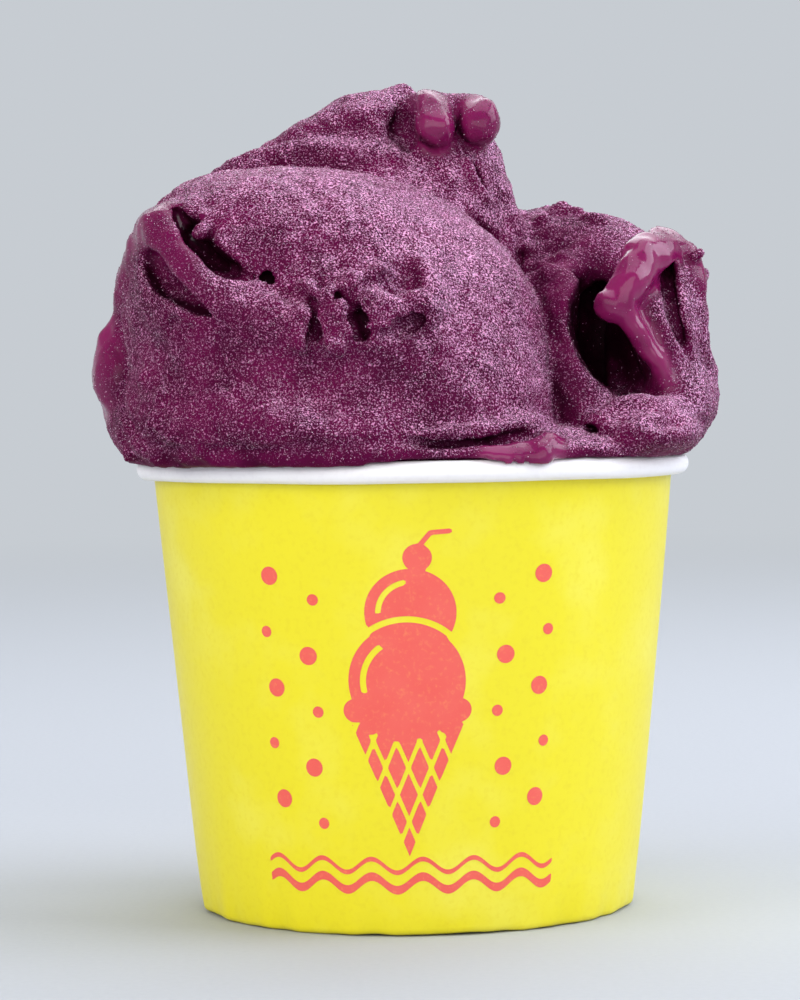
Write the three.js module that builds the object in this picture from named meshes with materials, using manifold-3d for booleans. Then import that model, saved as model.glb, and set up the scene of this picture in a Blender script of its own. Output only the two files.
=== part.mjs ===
// Paper cup of gelato: a 240 ml cup with a rolled brim, and one solid of gelato that fills it
// and is heaped over the brim in folds. Millimetres, +Z up, the cup's axis on Z, the front at -Y.

import * as THREE from 'three';
import Module from 'manifold-3d';
import { mergeVertices } from 'three/addons/utils/BufferGeometryUtils.js';

const wasm = await Module();
wasm.setup();

// ---- the cup's driving dimensions ----
const brimDiameter = 85; // outside of the rolled brim
const baseDiameter = 66.8; // outside of the wall where it stands
const brimTop = 69.55; // height of the cup
const board = 0.45; // coated paperboard
const curlWidth = 3.0; // the rolled brim, across
const curlHeight = 3.3; // the rolled brim, up
const hemHeight = 6.2; // the wall's edge, folded in and up inside the base
const recess = 6.6; // how far the base disc is above the table
const gap = 0.3; // between two pieces
const roundSteps = 60; // facets round the cup

const brimMiddle = brimTop - curlHeight / 2;
const curlCentre = brimDiameter / 2 - curlWidth / 2;
const wallTop = curlCentre - curlWidth / 2 + board / 2; // middle of the board under the brim
const wallBottom = baseDiameter / 2 - board / 2; // middle of the board at the table
const wallSlope = (wallTop - wallBottom) / brimMiddle;
const wallAt = (z) => wallBottom + wallSlope * z;

// ---- the gelato's driving dimensions ----
const fillTop = 68.2; // the filling is even with the brim's inside up to here
const cell = 2.6; // size of the facets of the heap
const frost = 0.45; // thickness of the layer of ice crystals round the heap

// ---- forms of the heap ----
// A lobe is an egg: its centre, its half sizes, its lean about Y in degrees, and how softly it joins
// the lobes before it. The scoops are each a few lobes.
const scoops = {
  front: [
    { at: [-9, -8, 79], half: [31.5, 35, 32], lean: 8 },
    { at: [-27.5, -12, 92.5], half: [15.5, 25, 18.5], blend: 5 },
    { at: [-17, -12, 100.5], half: [21, 22, 12.5], lean: 10, blend: 5 },
    { at: [-13, -8, 75], half: [33, 36, 12], blend: 5 },
  ],
  peak: [
    { at: [4.5, 8, 111], half: [10.4, 10.5, 14.6], lean: 4 },
    { at: [0.5, 8, 95], half: [17.5, 19, 22.5], blend: 5 },
    { at: [-14, 8, 100], half: [24, 20, 15], blend: 5 },
    { at: [-12, 6, 117.5], half: [14, 6, 5.5], lean: -18, blend: 4 },
    { at: [-14, 3, 112], half: [19, 7, 6], lean: -7, blend: 2 },
    { at: [-8, 18, 82], half: [34, 23, 24], blend: 6 },
  ],
  right: [
    { at: [28, 12, 89], half: [15.5, 17, 19.5], lean: 12 },
    { at: [20.5, 14, 94], half: [12, 14, 14], blend: 4 },
    { at: [20, 19, 80], half: [24, 22, 18], blend: 6 },
    { at: [33, -4, 73], half: [12.5, 27, 7.5], blend: 4 },
  ],
  flap: [
    { at: [37.5, -3, 88], half: [7.6, 15, 15], lean: 8 },
    { at: [39, -4, 77], half: [7.5, 15, 8], blend: 4 },
  ],
  rear: [
    { at: [-25, 19, 84], half: [18, 17, 17], lean: 20 },
    { at: [-2, 24, 92], half: [17, 15.5, 20], blend: 2.5 },
    { at: [22, 23, 83], half: [18, 16, 16], lean: -25, blend: 2.2 },
    { at: [6, 32, 76], half: [26, 10, 9], lean: -8, blend: 2 },
  ],
};
const foot = { at: [0, 0.5, 71], half: [43.8, 43.2, 9] }; // spread over the brim all round

// A strand is a rope of gelato pressed onto a scoop, or with cut: true a groove carved along it.
// A point of its path is [x, z] on the scoop's surface as seen from the front (from the back where
// back: true), sunk by so much, or [x, y, z] where it leaves the surface.
const strands = {
  front: [
    // brow over the hollow face
    { path: [[-23, 89], [-8, 89], [-1, 90.5], [3.5, 94], [2, 98.5]], wide: [1.6, 2.6, 2.4, 2, 1.2],
      sink: 1, blend: 2.2 },
    // roll round the left side, turning down into a ridge across the face
    { path: [[-43, -10, 88], [-43.5, -11, 95], [-41, -15, 101], [-37.5, -24, 103.2],
      [-34.6, -29.5, 99.5], [-30.5, 94.6], [-19.5, 89.2]], wide: [2.6, 3.2, 3.5, 3, 2.8, 3, 2],
      sink: 0.9, blend: 1.6 },
    // slits under and over the ridge
    { cut: true, path: [[-38.3, -25.5, 99.6], [-36.4, 97], [-33.6, 94], [-30, 91.4]],
      wide: [1.8, 2.9, 2.4, 1.4], sink: 2.2, blend: 1.6 },
    { cut: true, path: [[-34.5, 105.3], [-32.2, 101.4], [-29.4, 98.6], [-23.6, 96.2]],
      wide: [1.6, 2.4, 2.3, 1.3], sink: 2.3, blend: 1.4 },
    // lip at the foot and its drip
    { path: [[2, 71.8], [10.7, 72.4], [15.8, 73.4], [20, 73.6]], wide: [0.9, 1.4, 1.6, 1.5],
      sink: 0.4, blend: 0.9 },
    { path: [[12, 69.9], [17.5, 69.6], [20.5, 71.2]], wide: [1.2, 2, 1.9], sink: 1.7, blend: 0.8 },
    // lobe hanging on the left
    { path: [[-43.2, -12, 91], [-44.9, -13, 86], [-45.1, -14, 81], [-43.8, -14, 77]],
      wide: [1.8, 2.6, 2.9, 2.4], blend: 1 },
    { path: [[-39.5, -8, 84], [-40, -8, 77], [-39.6, -6, 71.4]], wide: [5.5, 6, 4.6], blend: 2 },
    { cut: true, path: [[-40.6, -29, 81], [-39.8, -26, 77.6], [-39.2, -24, 74.2]],
      wide: [1.2, 2, 1.4], blend: 1 },
  ],
  peak: [
    { cut: true, path: [[-3, 121.6], [-2, 119], [-0.6, 116.2]], wide: [1.6, 2.4, 1.8],
      sink: 0.2, blend: 1.8 },
    { path: [[-8, 6, 120.8], [-4, 7, 122.6], [-1.5, 7, 124.9]], wide: [4.2, 3.5, 2.2], blend: 2.5 },
    // two drops on the peak
    { path: [[3, 0.5, 123.2], [3, -2.6, 119.2]], wide: [2.6, 3.1], blend: 0.8 },
    { path: [[9.5, 5, 121], [9.6, -1.6, 120.8]], wide: [3.2, 3.3], blend: 0.8 },
    { path: [[-29, 112.6], [-22, 115.4], [-12, 116.2], [-3, 114.6]], wide: [1.6, 2.4, 2, 1.2],
      sink: 1, blend: 1.5 },
  ],
  right: [
    // deep hollow between the right scoop and its flap
    { cut: true, path: [[29.5, -14, 101.6], [27.6, -9, 97], [26.8, -5, 91], [28, -4, 84],
      [30.6, -6, 79.4], [32.4, -13, 78]], wide: [1.6, 3.6, 5.2, 5.6, 4.2, 1.6], blend: 2 },
    { cut: true, path: [[29.6, 3, 93], [30.4, 3, 83.5]], wide: [4.2, 4.4], blend: 2 },
    // broken shelf under the flap
    { path: [[27, -26, 73.6], [31.6, -24, 75.8], [35.4, -23, 75.8], [40, -17, 74.8]],
      wide: [1.8, 2.3, 2.2, 2.4], blend: 1.2 },
  ],
  flap: [
    { cut: true, path: [[27.6, -9, 97], [26.6, -8, 91], [27.6, -8, 84], [30.4, -9, 79.6]],
      wide: [3, 4.6, 5.2, 3.4], blend: 1.2 },
    // rolled left edge
    { path: [[39, -3, 102.4], [35, -9, 102.2], [31.6, -15, 98.6], [28.9, -19.5, 92.6],
      [31.6, -19, 88.8], [34.4, -18.4, 85], [36.8, -17, 80]],
      wide: [2.4, 3, 3, 2.8, 2.3, 2.1, 1.8], blend: 1.6 },
    // slit, and the rim right of it
    { cut: true, path: [[38.2, 99], [38.8, 95], [39.8, 90], [41.2, 85.6]],
      wide: [1, 1.6, 1.6, 0.9], sink: 1.6, blend: 0.7 },
    { path: [[41.2, -9, 100.4], [42.8, -10, 96], [43, -10, 91], [43.6, -9, 86], [44.6, -6, 82.4],
      [43.4, -5, 77]], wide: [2, 2.1, 1.9, 1.8, 1.9, 2.2], blend: 1.2 },
  ],
  rear: [
    // two sweeps of the spatula across the back, each a ridge with a groove under it
    { back: true, path: [[-40, 90], [-27, 101], [-9, 107], [10, 103], [24, 92]],
      wide: [1.6, 2.4, 2.8, 2.6, 1.8], sink: 0.8, blend: 2 },
    { back: true, cut: true, path: [[-38, 86.5], [-26, 97], [-9, 102.4], [8, 98.8], [20, 89]],
      wide: [1.2, 1.8, 2.1, 1.8, 1.2], sink: 0.6, blend: 1.5 },
    { back: true, path: [[38, 94], [27, 85], [8, 80], [-12, 80.6], [-30, 77]],
      wide: [1.6, 2.3, 2.6, 2.3, 1.5], sink: 1.2, blend: 2 },
    { back: true, cut: true, path: [[35, 89], [25, 81], [8, 76], [-11, 76.4], [-27, 74]],
      wide: [1.2, 1.6, 1.9, 1.6, 1], sink: 0.4, blend: 1.4 },
  ],
};

// Dents are shallow hollows of the front scoop: place [x, z], half sizes, depth and lean.
const dents = [
  { at: [-2, 79.5], half: [19, 8, 9.6], deep: 3.6, lean: 18, blend: 1.6 }, // under the brow
  { at: [-19, 84], half: [13, 7, 3.2], deep: 1.8, lean: 14, blend: 1.8 },
  { at: [-33, 98], half: [10.5, 6, 5], deep: 3.2, lean: 38, blend: 1.5 }, // round the left ridge
];

// ---- distance to the gelato's surface, negative inside ----
function smoothMin(a, b, k) {
  if (!k) return Math.min(a, b);
  const h = Math.min(Math.max(0.5 + (0.5 * (b - a)) / k, 0), 1);
  return b + (a - b) * h - k * h * (1 - h);
}

const smoothMax = (a, b, k) => -smoothMin(-a, -b, k);

function lobeDistance(p, { at, half, lean = 0 }) {
  const turn = THREE.MathUtils.degToRad(lean);
  const [x, y, z] = [p.x - at[0], p.y - at[1], p.z - at[2]];
  const q = new THREE.Vector3(
    x * Math.cos(turn) - z * Math.sin(turn), y, x * Math.sin(turn) + z * Math.cos(turn));
  const size = new THREE.Vector3(...half);
  const near = q.divide(size).length();
  return (near * (near - 1)) / (q.divide(size).length() + 1e-9);
}

const scoopDistance = (p, lobes) => lobes.reduce(
  (d, lobe) => smoothMin(d, lobeDistance(p, lobe), lobe.blend), Infinity);

// Slow waves bend the whole heap a little, so that no lobe is a true egg.
function wave(p, size, seed) {
  const k = (2 * Math.PI) / size;
  const a = Math.sin(k * (p.x + 0.37 * p.y) + seed) * Math.sin(k * (0.83 * p.y - 0.41 * p.z) + 2.1 * seed);
  const b = Math.sin(k * (0.91 * p.z + 0.33 * p.x) + 1.7 * seed)
    * Math.sin(k * (0.71 * p.x - 0.52 * p.y + 0.3 * p.z) + 0.6 * seed);
  return (a + b) / 2;
}

const bent = (p) => new THREE.Vector3(
  p.x + 0.8 * wave(p, 31, 1) + 0.35 * wave(p, 13, 2),
  p.y + 0.9 * wave(p, 29, 3) + 0.4 * wave(p, 12, 4),
  p.z + 0.7 * wave(p, 33, 5) + 0.3 * wave(p, 14, 6));

// Where a line along Y at (x, z) meets the scoop, moved on into it by sink.
function pressed([x, z], lobes, sink, back) {
  const inwards = back ? -1 : 1;
  const p = new THREE.Vector3(x, -60 * inwards, z);
  while (scoopDistance(p, lobes) > 0 && p.y * inwards < 0) p.y += 0.2 * inwards;
  p.y += sink * inwards;
  return p;
}

// The strand's path as a smooth curve cut into short straight rods, each with its radius.
function rodsOf({ path, wide, sink = 0, back = false }, lobes) {
  const points = path.map((at) => (at.length === 3 ? new THREE.Vector3(...at) : pressed(at, lobes, sink, back)));
  const curve = new THREE.CatmullRomCurve3(points, false, 'catmullrom', 0.5);
  const steps = 3 * (points.length - 1);
  const radiusAt = (t) => {
    const s = Math.min(t * (wide.length - 1), wide.length - 1.001);
    return THREE.MathUtils.lerp(wide[Math.floor(s)], wide[Math.floor(s) + 1], s % 1);
  };
  return Array.from({ length: steps }, (_, i) => ({
    start: curve.getPoint(i / steps),
    span: curve.getPoint((i + 1) / steps).sub(curve.getPoint(i / steps)),
    radius: radiusAt(i / steps),
    growth: radiusAt((i + 1) / steps) - radiusAt(i / steps),
  }));
}

function rodsDistance(p, rods) {
  let nearest = Infinity;
  for (const { start, span, radius, growth } of rods) {
    const q = new THREE.Vector3().subVectors(p, start);
    const h = Math.min(Math.max(q.dot(span) / span.lengthSq(), 0), 1);
    nearest = Math.min(nearest, q.addScaledVector(span, -h).length() - radius - growth * h);
  }
  return nearest;
}

const ready = Object.fromEntries(Object.entries(strands).map(([name, list]) => [
  name, list.map((strand) => ({ ...strand, rods: rodsOf(strand, scoops[name]) }))]));

const hollows = dents.map(({ at, half, deep, ...rest }) => {
  const middle = pressed(at, scoops.front, deep - half[1], false);
  return { at: middle.toArray(), half, ...rest };
});

const withStrands = (p, d, name) => ready[name].reduce((near, { rods, cut, blend }) => (cut
  ? smoothMax(near, -rodsDistance(p, rods), blend)
  : smoothMin(near, rodsDistance(p, rods), blend)), d);

function gelatoDistance(point) {
  const p = bent(point);
  const dented = hollows.reduce(
    (d, hollow) => smoothMax(d, -lobeDistance(p, hollow), hollow.blend), scoopDistance(p, scoops.front));
  const front = withStrands(p, dented, 'front');
  const peak = withStrands(p, scoopDistance(p, scoops.peak), 'peak');
  const right = withStrands(p, scoopDistance(p, scoops.right), 'right');
  const flap = withStrands(p, smoothMin(right, scoopDistance(p, scoops.flap), 1), 'flap');
  const rear = withStrands(p, scoopDistance(p, scoops.rear), 'rear');
  const heap = smoothMin(smoothMin(smoothMin(front, peak, 0.8), flap, 1), rear, 1.5);
  return smoothMin(heap, lobeDistance(p, foot), 2) - frost;
}

// Moves a point near the surface straight onto it.
function drawnOnto(distance, p) {
  const nudge = 0.05;
  for (let pass = 0; pass < 3; pass++) {
    const slope = new THREE.Vector3(...[0, 1, 2].map((axis) => {
      const side = new THREE.Vector3().setComponent(axis, nudge);
      return (distance(p.clone().add(side)) - distance(p.clone().sub(side))) / (2 * nudge);
    }));
    p.addScaledVector(slope, -distance(p) / Math.max(slope.lengthSq(), 0.5));
  }
  return p;
}

// ---- the surface as a closed mesh: one vertex for each cell that the surface crosses ----
function surfaceNet(distance, low, high) {
  const count = [0, 1, 2].map((k) => Math.ceil((high[k] - low[k]) / cell) + 1);
  const index = (i, j, k) => i + count[0] * (j + count[1] * k);
  const value = new Float64Array(count[0] * count[1] * count[2]);
  const each = (from, to, visit) => {
    for (let k = from; k < count[2] - to; k++)
      for (let j = from; j < count[1] - to; j++)
        for (let i = from; i < count[0] - to; i++) visit(i, j, k);
  };
  each(0, 0, (i, j, k) => {
    const edge = [i, j, k].some((n, axis) => n === 0 || n === count[axis] - 1);
    const p = new THREE.Vector3(low[0] + i * cell, low[1] + j * cell, low[2] + k * cell);
    value[index(i, j, k)] = edge ? cell : distance(p);
  });

  // Two inside corners that meet only across a diagonal would pinch the mesh: that face or cube is filled.
  const step = [1, count[0], count[0] * count[1]];
  const barely = 0.05 * cell;
  const pinchedCorners = (c) => {
    for (let axis = 0; axis < 3; axis++) {
      const [u, v] = [step[(axis + 1) % 3], step[(axis + 2) % 3]];
      const face = [c, c + u, c + u + v, c + v];
      const [a, b, d, e] = face.map((n) => value[n] < 0);
      if (a === d && b === e && a !== b) return face;
    }
    const cube = [0, 1, 2, 3, 4, 5, 6, 7].map(
      (n) => c + (n & 1) * step[0] + ((n >> 1) & 1) * step[1] + ((n >> 2) & 1) * step[2]);
    const inside = cube.filter((n) => value[n] < 0).length;
    const across = [0, 1, 2, 3].some((n) => [cube[n], cube[7 - n]].every((m) => (value[m] < 0) === (inside === 2)));
    return (inside === 2 || inside === 6) && across ? cube : [];
  };
  const fillPinches = () => {
    let filled = 0;
    each(0, 1, (i, j, k) => {
      for (const c of pinchedCorners(index(i, j, k))) {
        if (value[c] >= 0) {
          value[c] = -barely;
          filled++;
        }
      }
    });
    return filled;
  };

  // Everything joined to the first corner and on its side of the surface.
  const joined = (first) => {
    const reached = new Uint8Array(value.length);
    const queue = [first];
    reached[first] = 1;
    while (queue.length) {
      const c = queue.pop();
      for (const next of step.flatMap((s) => [c - s, c + s])) {
        if (next < 0 || next >= value.length || reached[next]) continue;
        if ((value[next] < 0) !== (value[c] < 0)) continue;
        reached[next] = 1;
        queue.push(next);
      }
    }
    return reached;
  };
  const fillSealed = () => {
    const open = joined(0);
    let filled = 0;
    value.forEach((d, c) => {
      if (d >= 0 && !open[c]) {
        value[c] = -barely;
        filled++;
      }
    });
    return filled;
  };
  while (fillPinches() + fillSealed() > 0);
  const heart = joined(index(...count.map((n, axis) => (axis < 2 ? Math.floor(n / 2) : 2))));
  value.forEach((d, c) => {
    if (d < 0 && !heart[c]) value[c] = barely; // a loose scrap
  });

  const vertexOf = new Map();
  const positions = [];
  const edges = [];
  for (let a = 0; a < 8; a++) for (let bit = 1; bit < 8; bit *= 2) if (!(a & bit)) edges.push([a, a | bit]);
  const corner = (n, k) => (n >> k) & 1;
  each(0, 1, (i, j, k) => {
    const at = (n) => value[index(i + corner(n, 0), j + corner(n, 1), k + corner(n, 2))];
    const crossed = edges.filter(([a, b]) => (at(a) < 0) !== (at(b) < 0));
    if (!crossed.length) return;
    const mean = [0, 1, 2].map((axis) => crossed.reduce((sum, [a, b]) => {
      const t = at(a) / (at(a) - at(b));
      return sum + corner(a, axis) + (corner(b, axis) - corner(a, axis)) * t;
    }, 0) / crossed.length);
    const corners = [i, j, k].map((n, axis) => low[axis] + n * cell);
    const p = new THREE.Vector3(...corners.map((start, axis) => start + mean[axis] * cell));
    vertexOf.set(index(i, j, k), positions.length / 3);
    drawnOnto(distance, p).toArray().forEach((x, axis) => {
      positions.push(THREE.MathUtils.clamp(x, corners[axis] + barely, corners[axis] + cell - barely));
    });
  });

  const triangles = [];
  const gapBetween = (a, b) => Math.hypot(...[0, 1, 2].map((k) => positions[3 * a + k] - positions[3 * b + k]));
  each(0, 1, (i, j, k) => {
    const here = index(i, j, k);
    for (let axis = 0; axis < 3; axis++) {
      const inside = value[here] < 0;
      const first = [i, j, k].some((n, other) => n === 0 && other !== axis); // no cells before it
      if (first || inside === value[here + step[axis]] < 0) continue;
      const [u, v] = [step[(axis + 1) % 3], step[(axis + 2) % 3]];
      const ring = [here - u - v, here - v, here, here - u].map((c) => vertexOf.get(c));
      if (!inside) ring.reverse();
      const [a, b, c, d] = ring;
      if (gapBetween(a, c) < gapBetween(b, d)) triangles.push(a, b, c, a, c, d);
      else triangles.push(b, c, d, b, d, a);
    }
  });
  return { positions, triangles };
}

// ---- between three.js and the solid library ----
const solid = (positions, triangles) => new wasm.Manifold(new wasm.Mesh({
  numProp: 3, vertProperties: new Float32Array(positions), triVerts: new Uint32Array(triangles) }));

function turned(profile, steps = roundSteps) {
  const points = profile.map(([r, z]) => new THREE.Vector2(r, z));
  const geometry = new THREE.LatheGeometry(points, steps).rotateX(Math.PI / 2);
  geometry.deleteAttribute('normal');
  geometry.deleteAttribute('uv');
  return mergeVertices(geometry, 1e-4);
}

function turnedSolid(profile) {
  const geometry = turned(profile);
  const p = geometry.attributes.position.array;
  const index = Array.from(geometry.index.array);
  const corners = [];
  for (let n = 0; n < index.length; n += 3) {
    const [a, b, c] = index.slice(n, n + 3);
    if (a !== b && b !== c && c !== a) corners.push(a, b, c);
  }
  return solid(p, corners);
}

function geometryOf(manifold) {
  const { vertProperties, triVerts } = manifold.getMesh();
  const geometry = new THREE.BufferGeometry();
  geometry.setAttribute('position', new THREE.BufferAttribute(vertProperties, 3));
  geometry.setIndex(new THREE.BufferAttribute(triVerts, 1));
  return geometry;
}

// ---- the cup ----
// A bent sheet of board: its middle line given the board's thickness.
function sheet(line) {
  const side = (sign) => line.map(([r, z], n) => {
    const [before, after] = [line[Math.max(n - 1, 0)], line[Math.min(n + 1, line.length - 1)]];
    const along = new THREE.Vector2(after[0] - before[0], after[1] - before[1]).normalize();
    return [r - (sign * along.y * board) / 2, z + (sign * along.x * board) / 2];
  });
  const loop = [...side(-1), ...side(1).reverse()];
  return [...loop, loop[0]];
}

const curlSpan = 300; // degrees that the brim's roll goes round
const curlSteps = 7;

function wallGeometry() {
  const hemIn = wallAt(hemHeight) - 3 * board - 2 * gap; // the hem leaves room for the base's skirt
  const bottom = board / 2;
  const curl = Array.from({ length: curlSteps + 1 }, (_, n) => {
    const angle = THREE.MathUtils.degToRad(180 - (curlSpan * n) / curlSteps);
    const [across, up] = [(curlWidth - board) / 2, (curlHeight - board) / 2];
    return [curlCentre + across * Math.cos(angle), brimMiddle + up * Math.sin(angle)];
  });
  return turned(sheet([
    [hemIn, hemHeight], [wallAt(0) - 3 * board - 2 * gap, 0.8], [wallAt(0) - 1.2, bottom],
    [wallAt(0) - 0.4, bottom], [wallAt(0.8), 0.8], ...curl]));
}

function baseGeometry() {
  const outer = (z) => wallAt(z) - board / 2 - gap; // along the wall's inside
  const inner = (z) => outer(z) - board;
  const skirtBottom = 1.4;
  return turned([
    [0, recess], [inner(recess), recess], [inner(skirtBottom), skirtBottom],
    [outer(skirtBottom), skirtBottom], [outer(recess + board), recess + board], [0, recess + board]]);
}

// ---- the gelato ----
function gelatoGeometry() {
  const inside = (z) => wallAt(z) - board / 2 - gap;
  const fillBottom = recess + board + gap;
  const filling = turnedSolid([
    [0, fillBottom], [inside(fillBottom), fillBottom], [inside(fillTop), fillTop], [0, fillTop]]);

  const heapBottom = fillTop - 2 * cell;
  const net = surfaceNet(gelatoDistance, [-54, -52, heapBottom], [54, 54, 134]);
  const heap = solid(net.positions, net.triangles);

  // room for the brim: its outline with the gap round it, and nothing lower outside the cup
  const dripBottom = 68.7;
  const roomSteps = 5;
  const room = Array.from({ length: roomSteps + 1 }, (_, n) => {
    const angle = Math.PI * (1 - n / roomSteps);
    const r = curlCentre + (curlWidth / 2 + gap) * Math.cos(angle);
    return [r, brimMiddle + (curlHeight / 2 + gap) * Math.sin(angle)];
  }).filter(([r, z]) => r < curlCentre || z > dripBottom);
  const low = heapBottom - cell;
  const ring = [[inside(low), low], ...room, [curlCentre + curlWidth / 2 + gap, dripBottom],
    [60, dripBottom], [60, low]];
  const clear = turnedSolid([...ring, ring[0]].reverse());
  return geometryOf(heap.subtract(clear).add(filling));
}

// ---- the model ----
const finishes = {
  cup_wall: { color: '#f0e33c', roughness: 0.45, metalness: 0 },
  cup_base: { color: '#f3f1ea', roughness: 0.5, metalness: 0 },
  gelato: { color: '#772b53', roughness: 0.4, metalness: 0 },
};

function piece(name, geometry) {
  const mesh = new THREE.Mesh(geometry, new THREE.MeshStandardMaterial(finishes[name]));
  mesh.name = name;
  return mesh;
}

const gelatoCup = new THREE.Group();
gelatoCup.add(piece('cup_wall', wallGeometry()), piece('cup_base', baseGeometry()), piece('gelato', gelatoGeometry()));

export default gelatoCup;
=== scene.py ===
from math import cos, degrees, dist, exp, pi, radians, sin, sqrt

import bmesh
import bpy
import numpy as np
from mathutils import Matrix, Vector, noise
from mathutils.bvhtree import BVHTree


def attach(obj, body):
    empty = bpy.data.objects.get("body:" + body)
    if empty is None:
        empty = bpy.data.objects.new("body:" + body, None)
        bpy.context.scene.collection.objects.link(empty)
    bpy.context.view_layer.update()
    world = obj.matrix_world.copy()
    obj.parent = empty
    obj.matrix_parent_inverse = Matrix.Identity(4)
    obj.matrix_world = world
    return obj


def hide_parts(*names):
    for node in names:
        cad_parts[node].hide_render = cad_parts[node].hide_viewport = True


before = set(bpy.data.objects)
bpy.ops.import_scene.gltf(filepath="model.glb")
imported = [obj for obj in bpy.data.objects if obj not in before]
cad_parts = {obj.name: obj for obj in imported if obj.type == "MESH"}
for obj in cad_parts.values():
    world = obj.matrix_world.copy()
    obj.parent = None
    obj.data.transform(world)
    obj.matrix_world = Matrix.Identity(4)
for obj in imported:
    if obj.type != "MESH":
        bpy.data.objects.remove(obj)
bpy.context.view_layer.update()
mm = 0.001  # the sizes below are in millimetres, and meshes are in metres
scene = bpy.context.scene
print("frame loaded")


def linearRgba(hexColour):
    channels = [int(hexColour[i:i + 2], 16) / 255 for i in (1, 3, 5)]
    return [c / 12.92 if c <= 0.04045 else ((c + 0.055) / 1.055) ** 2.4 for c in channels] + [1.0]


def setInputs(tree, node, inputs):
    # inputs are sockets by name or number: a socket is linked, anything else is the value
    for name, value in inputs.items():
        if isinstance(value, bpy.types.NodeSocket):
            tree.links.new(value, node.inputs[name])
        elif isinstance(value, str) and value.startswith("#"):
            node.inputs[name].default_value = linearRgba(value)
        else:
            node.inputs[name].default_value = value


def addNode(tree, kind, inputs=None, **settings):
    node = tree.nodes.new(kind)
    for name, value in settings.items():
        setattr(node, name, value)
    setInputs(tree, node, inputs or {})
    return node


def addPlace(tree):
    return addNode(tree, "ShaderNodeTexCoord").outputs["Object"]


def addAttribute(tree, name):
    return addNode(tree, "ShaderNodeAttribute", attribute_name=name).outputs["Fac"]


def addNoise(tree, place, scale, detail, **more):
    inputs = {"Vector": place, "Scale": scale, "Detail": detail, **more}
    return addNode(tree, "ShaderNodeTexNoise", inputs).outputs["Fac"]


def addRange(tree, value, low=0.0, high=1.0, toLow=0.0, toHigh=1.0, **settings):
    inputs = {"Value": value, "From Min": low, "From Max": high, "To Min": toLow, "To Max": toHigh}
    return addNode(tree, "ShaderNodeMapRange", inputs, **settings).outputs[0]


def addMix(tree, share, first, second):
    return addNode(tree, "ShaderNodeMix", {0: share, 6: first, 7: second}, data_type="RGBA").outputs[2]


def addMath(tree, operation, *values):
    return addNode(tree, "ShaderNodeMath", dict(enumerate(values)), operation=operation).outputs[0]


def newMaterial(name):
    material = bpy.data.materials.new(name)
    material.use_nodes = True
    tree = material.node_tree
    tree.nodes.clear()
    shader = addNode(tree, "ShaderNodeBsdfPrincipled")
    addNode(tree, "ShaderNodeOutputMaterial", {"Surface": shader.outputs["BSDF"]})
    return material, tree, shader


def inScene(name, data):
    made = bpy.data.objects.new(name, data)
    scene.collection.objects.link(made)
    return made


def newPiece(name, vertices, faces, *materials):
    mesh = bpy.data.meshes.new(name)
    mesh.from_pydata((np.asarray(vertices, float) * mm).tolist(), [], [list(map(int, f)) for f in faces])
    for material in materials:
        mesh.materials.append(material)
    mesh.polygons.foreach_set("use_smooth", [True] * len(mesh.polygons))
    mesh.update()
    return inScene(name, mesh)


# The cup is one sheet of coated board, lapped and glued behind the right side, its foot turned in round
# the base disc and its top edge rolled outwards into the brim.
cup = {
    "board": 0.45,
    "brimTop": 69.55,
    "brimDiameter": 85.0,
    "baseDiameter": 66.8,
    "curlWidth": 3.0,
    "curlHeight": 3.3,
    "curlTurn": 330,  # degrees
    "hemHeight": 6.2,
    "recess": 6.6,  # base disc above the table
    "gap": 0.3,
    "segments": 288,
    "lapWidth": 9.0,  # glued overlap of the sheet
    "lapAt": 18.0,  # degrees round from +X, between the two prints
    "dent": 0.16,  # how far the wall is out of round
    "crimp": 0.35,  # ripples of the turned-in foot
    "knocks": ((-62, 1.6), (-48, 0.8), (-75, 0.7), (-28, 1.1)),  # on the foot: degrees, how deep
}
curlCentre = (cup["brimDiameter"] - cup["curlWidth"]) / 2
curlMiddle = cup["brimTop"] - cup["curlHeight"] / 2
wallLow = (cup["baseDiameter"] - cup["board"]) / 2  # middle of the board at the table
wallHigh = curlCentre - (cup["curlWidth"] - cup["board"]) / 2


def wallRadius(z):
    return wallLow + (wallHigh - wallLow) * z / curlMiddle


def degreesPast(angle, place):
    return (degrees(angle) - place + 180) % 360 - 180


def outOfRound(angle, z):
    # a hand-held paper cup is never quite round: slow flats, and small ripples where the foot is crimped
    flats = sin(2 * angle + 0.6) + 0.5 * sin(3 * angle + 0.04 * z) + 0.3 * sin(7 * angle + 2)
    low = exp(-max(z, 0) / 4.5)
    ripple = 0.5 * sin(23 * angle + 1.3 * sin(3 * angle)) + 0.3 * sin(41 * angle + 2)
    knocks = 0.0
    for place, depth in cup["knocks"]:
        away = degreesPast(angle, place)
        knocks -= depth * exp(-(away / 5) ** 2) * exp(-((z - 2.5) / 2.4) ** 2)
    high = exp(-max(curlMiddle - z, 0) / 8)  # the brim's roll stiffens the wall
    return (cup["dent"] * flats - 0.3 * low) * (1 - high) + cup["crimp"] * low * (ripple + knocks)


def sheetLoop(line):
    # a bent sheet seen end-on: its middle line given the board's thickness, outer side first
    sides = []
    for sign in (1, -1):
        side = []
        for n, (r, z) in enumerate(line):
            before, after = line[max(n - 1, 0)], line[min(n + 1, len(line) - 1)]
            along = Vector((after[0] - before[0], after[1] - before[1])).normalized()
            side.append((r + sign * along.y * cup["board"] / 2, z - sign * along.x * cup["board"] / 2))
        sides.append(side)
    return sides[0] + sides[1][::-1]


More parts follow.
